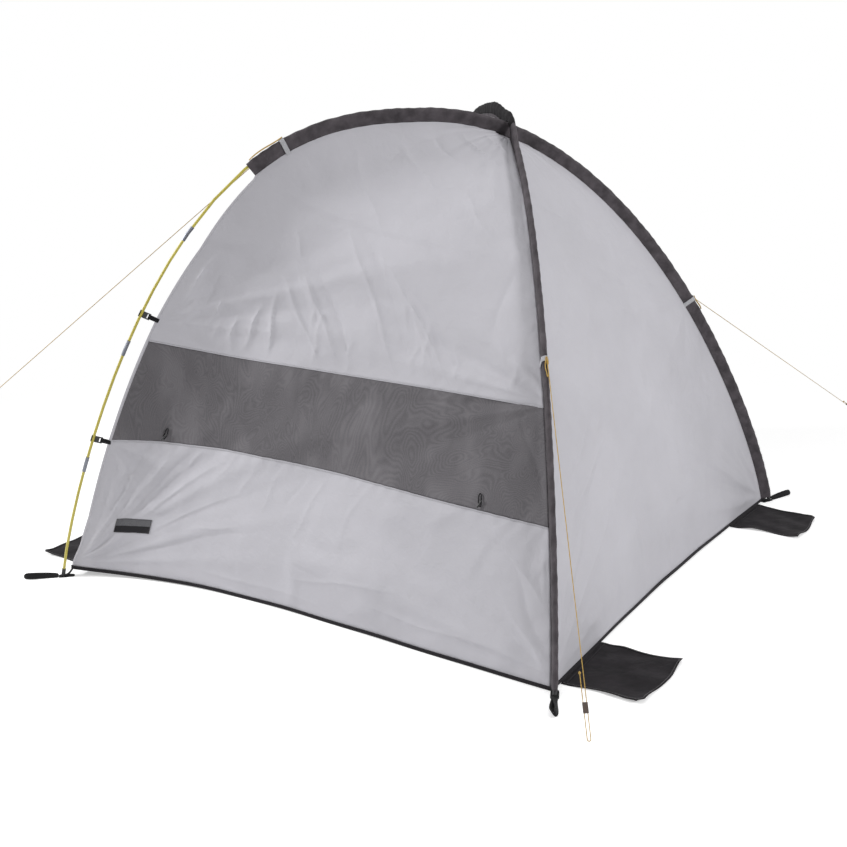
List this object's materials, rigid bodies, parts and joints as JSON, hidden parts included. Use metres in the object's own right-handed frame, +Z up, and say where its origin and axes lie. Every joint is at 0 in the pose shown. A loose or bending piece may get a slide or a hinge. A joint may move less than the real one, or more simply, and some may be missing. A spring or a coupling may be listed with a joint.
{
  "type": "beach tent",
  "caption": "Open-fronted beach tent on two crossed poles, with cloth walls, mesh side windows, hook clips, sand flaps, peg loops and guy lines",
  "frame": {"origin": "middle of the footprint, on the ground", "axes": "+Z up; the open side faces -Y; +X is left as seen by someone who sits inside and looks out"},
  "size_m": [3.26, 2.7191, 1.307],
  "materials": {
    "wall_cloth": "silver-grey coated polyester, matte with a faint sheen",
    "window_mesh": "dark grey fine mesh",
    "sleeve_cloth": "dark warm grey polyester",
    "dark_cloth": "charcoal woven polyester",
    "black_webbing": "black woven webbing",
    "grey_tape": "pale grey woven tape",
    "black_plastic": "moulded black plastic",
    "brown_plastic": "moulded dark brown plastic",
    "olive_fibreglass": "smooth olive-yellow glass fibre rod",
    "bare_metal": "drawn metal tube",
    "yellow_cord": "thin braided yellow cord",
    "white_elastic": "braided elastic cord"
  },
  "bodies": {
    "tent": {"back_left_guy_line": "yellow_cord", "back_left_guy_tape": "grey_tape", "back_right_guy_line": "yellow_cord", "back_right_guy_tape": "grey_tape", "back_wall": "wall_cloth", "front_left_guy_line": "yellow_cord", "front_left_guy_tape": "grey_tape", "front_right_guy_line": "yellow_cord", "front_right_guy_tape": "grey_tape", "groundsheet": "dark_cloth", "label_patch": "grey_tape", "left_door_hem": "black_webbing", "left_pole_back_tip": "black_plastic", "left_pole_ferrule_1": "bare_metal", "left_pole_ferrule_2": "bare_metal", "left_pole_ferrule_3": "bare_metal", "left_pole_front_tip": "black_plastic", "left_pole_section_1": "olive_fibreglass", "left_pole_section_2": "olive_fibreglass", "left_pole_section_3": "olive_fibreglass", "left_pole_shock_cord": "white_elastic", "left_pole_sleeve": "sleeve_cloth", "left_pole_sleeved_sections": "olive_fibreglass", "left_wall_lower": "wall_cloth", "left_wall_upper": "wall_cloth", "left_window_mesh": "window_mesh", "right_door_hem": "black_webbing", "right_pole_back_tip": "black_plastic", "right_pole_ferrule_1": "bare_metal", "right_pole_ferrule_2": "bare_metal", "right_pole_ferrule_3": "bare_metal", "right_pole_front_tip": "black_plastic", "right_pole_section_1": "olive_fibreglass", "right_pole_section_2": "olive_fibreglass", "right_pole_section_3": "olive_fibreglass", "right_pole_shock_cord": "white_elastic", "right_pole_sleeve": "sleeve_cloth", "right_pole_sleeved_sections": "olive_fibreglass", "right_wall_lower": "wall_cloth", "right_wall_upper": "wall_cloth", "right_window_mesh": "window_mesh", "roof_panel": "wall_cloth"},
    "front_left_sand_flap": {"front_left_sand_flap": "dark_cloth"},
    "front_left_peg_loop": {"front_left_peg_loop": "black_webbing"},
    "front_left_guy_runner": {"front_left_guy_runner": "brown_plastic"},
    "front_right_sand_flap": {"front_right_sand_flap": "dark_cloth"},
    "front_right_peg_loop": {"front_right_peg_loop": "black_webbing"},
    "front_right_guy_runner": {"front_right_guy_runner": "brown_plastic"},
    "back_left_sand_flap": {"back_left_sand_flap": "dark_cloth"},
    "back_left_peg_loop": {"back_left_peg_loop": "black_webbing"},
    "back_left_guy_runner": {"back_left_guy_runner": "brown_plastic"},
    "back_right_sand_flap": {"back_right_sand_flap": "dark_cloth"},
    "back_right_peg_loop": {"back_right_peg_loop": "black_webbing"},
    "back_right_guy_runner": {"back_right_guy_runner": "brown_plastic"},
    "left_lower_clip": {"left_lower_clip": "black_plastic"},
    "left_upper_clip": {"left_upper_clip": "black_plastic"},
    "right_lower_clip": {"right_lower_clip": "black_plastic"},
    "right_upper_clip": {"right_upper_clip": "black_plastic"}
  },
  "joints": [
    {"name": "front_left_sand_flap_fold", "type": "hinge", "parent": "tent", "child": "front_left_sand_flap", "pos_m": [0.639, -0.74602, 0.004], "axis": [-0.9965, 0.0831, 0], "range_deg": [0, 90]},
    {"name": "front_left_peg_loop_fold", "type": "hinge", "parent": "tent", "child": "front_left_peg_loop", "pos_m": [0.87797, -0.78647, 0.001], "axis": [-0.7071, -0.7071, 0], "range_deg": [0, 80]},
    {"name": "front_left_guy_runner_slide", "type": "slide", "parent": "tent", "child": "front_left_guy_runner", "axis": [-0.1957, 0.7633, 0.6156], "range_m": [0, 0.06]},
    {"name": "front_right_sand_flap_fold", "type": "hinge", "parent": "tent", "child": "front_right_sand_flap", "pos_m": [-0.639, -0.74602, 0.004], "axis": [-0.9965, -0.0831, 0], "range_deg": [0, 90]},
    {"name": "front_right_peg_loop_fold", "type": "hinge", "parent": "tent", "child": "front_right_peg_loop", "pos_m": [-0.87797, -0.78647, 0.001], "axis": [-0.7071, 0.7071, 0], "range_deg": [0, 80]},
    {"name": "front_right_guy_runner_slide", "type": "slide", "parent": "tent", "child": "front_right_guy_runner", "axis": [0.1957, 0.7633, 0.6156], "range_m": [0, 0.06]},
    {"name": "back_left_sand_flap_fold", "type": "hinge", "parent": "tent", "child": "back_left_sand_flap", "pos_m": [0.639, 0.75467, 0.004], "axis": [0.9992, 0.0391, 0], "range_deg": [0, 90]},
    {"name": "back_left_peg_loop_fold", "type": "hinge", "parent": "tent", "child": "back_left_peg_loop", "pos_m": [0.85188, 0.78224, 0.001], "axis": [0.4067, -0.9135, 0], "range_deg": [0, 80]},
    {"name": "back_left_guy_runner_slide", "type": "slide", "parent": "tent", "child": "back_left_guy_runner", "axis": [-0.5045, -0.3732, 0.7786], "range_m": [0, 0.06]},
    {"name": "back_right_sand_flap_fold", "type": "hinge", "parent": "tent", "child": "back_right_sand_flap", "pos_m": [-0.639, 0.75467, 0.004], "axis": [0.9992, -0.0391, 0], "range_deg": [0, 90]},
    {"name": "back_right_peg_loop_fold", "type": "hinge", "parent": "tent", "child": "back_right_peg_loop", "pos_m": [-0.85188, 0.78224, 0.001], "axis": [0.4067, 0.9135, 0], "range_deg": [0, 80]},
    {"name": "back_right_guy_runner_slide", "type": "slide", "parent": "tent", "child": "back_right_guy_runner", "axis": [0.9216, -0.067, 0.3822], "range_m": [0, 0.06]},
    {"name": "left_lower_clip_swing", "type": "hinge", "parent": "tent", "child": "left_lower_clip", "pos_m": [0.81075, -0.64125, 0.41298], "axis": [0.1477, -0.3173, -0.9368], "range_deg": [0, 80]},
    {"name": "left_upper_clip_swing", "type": "hinge", "parent": "tent", "child": "left_upper_clip", "pos_m": [0.73438, -0.50585, 0.76196], "axis": [0.2611, -0.3966, -0.8801], "range_deg": [0, 80]},
    {"name": "right_lower_clip_swing", "type": "hinge", "parent": "tent", "child": "right_lower_clip", "pos_m": [-0.81075, -0.64125, 0.41298], "axis": [0.1477, 0.3173, 0.9368], "range_deg": [0, 80]},
    {"name": "right_upper_clip_swing", "type": "hinge", "parent": "tent", "child": "right_upper_clip", "pos_m": [-0.73438, -0.50585, 0.76196], "axis": [0.2611, 0.3966, 0.8801], "range_deg": [0, 80]}
  ]
}
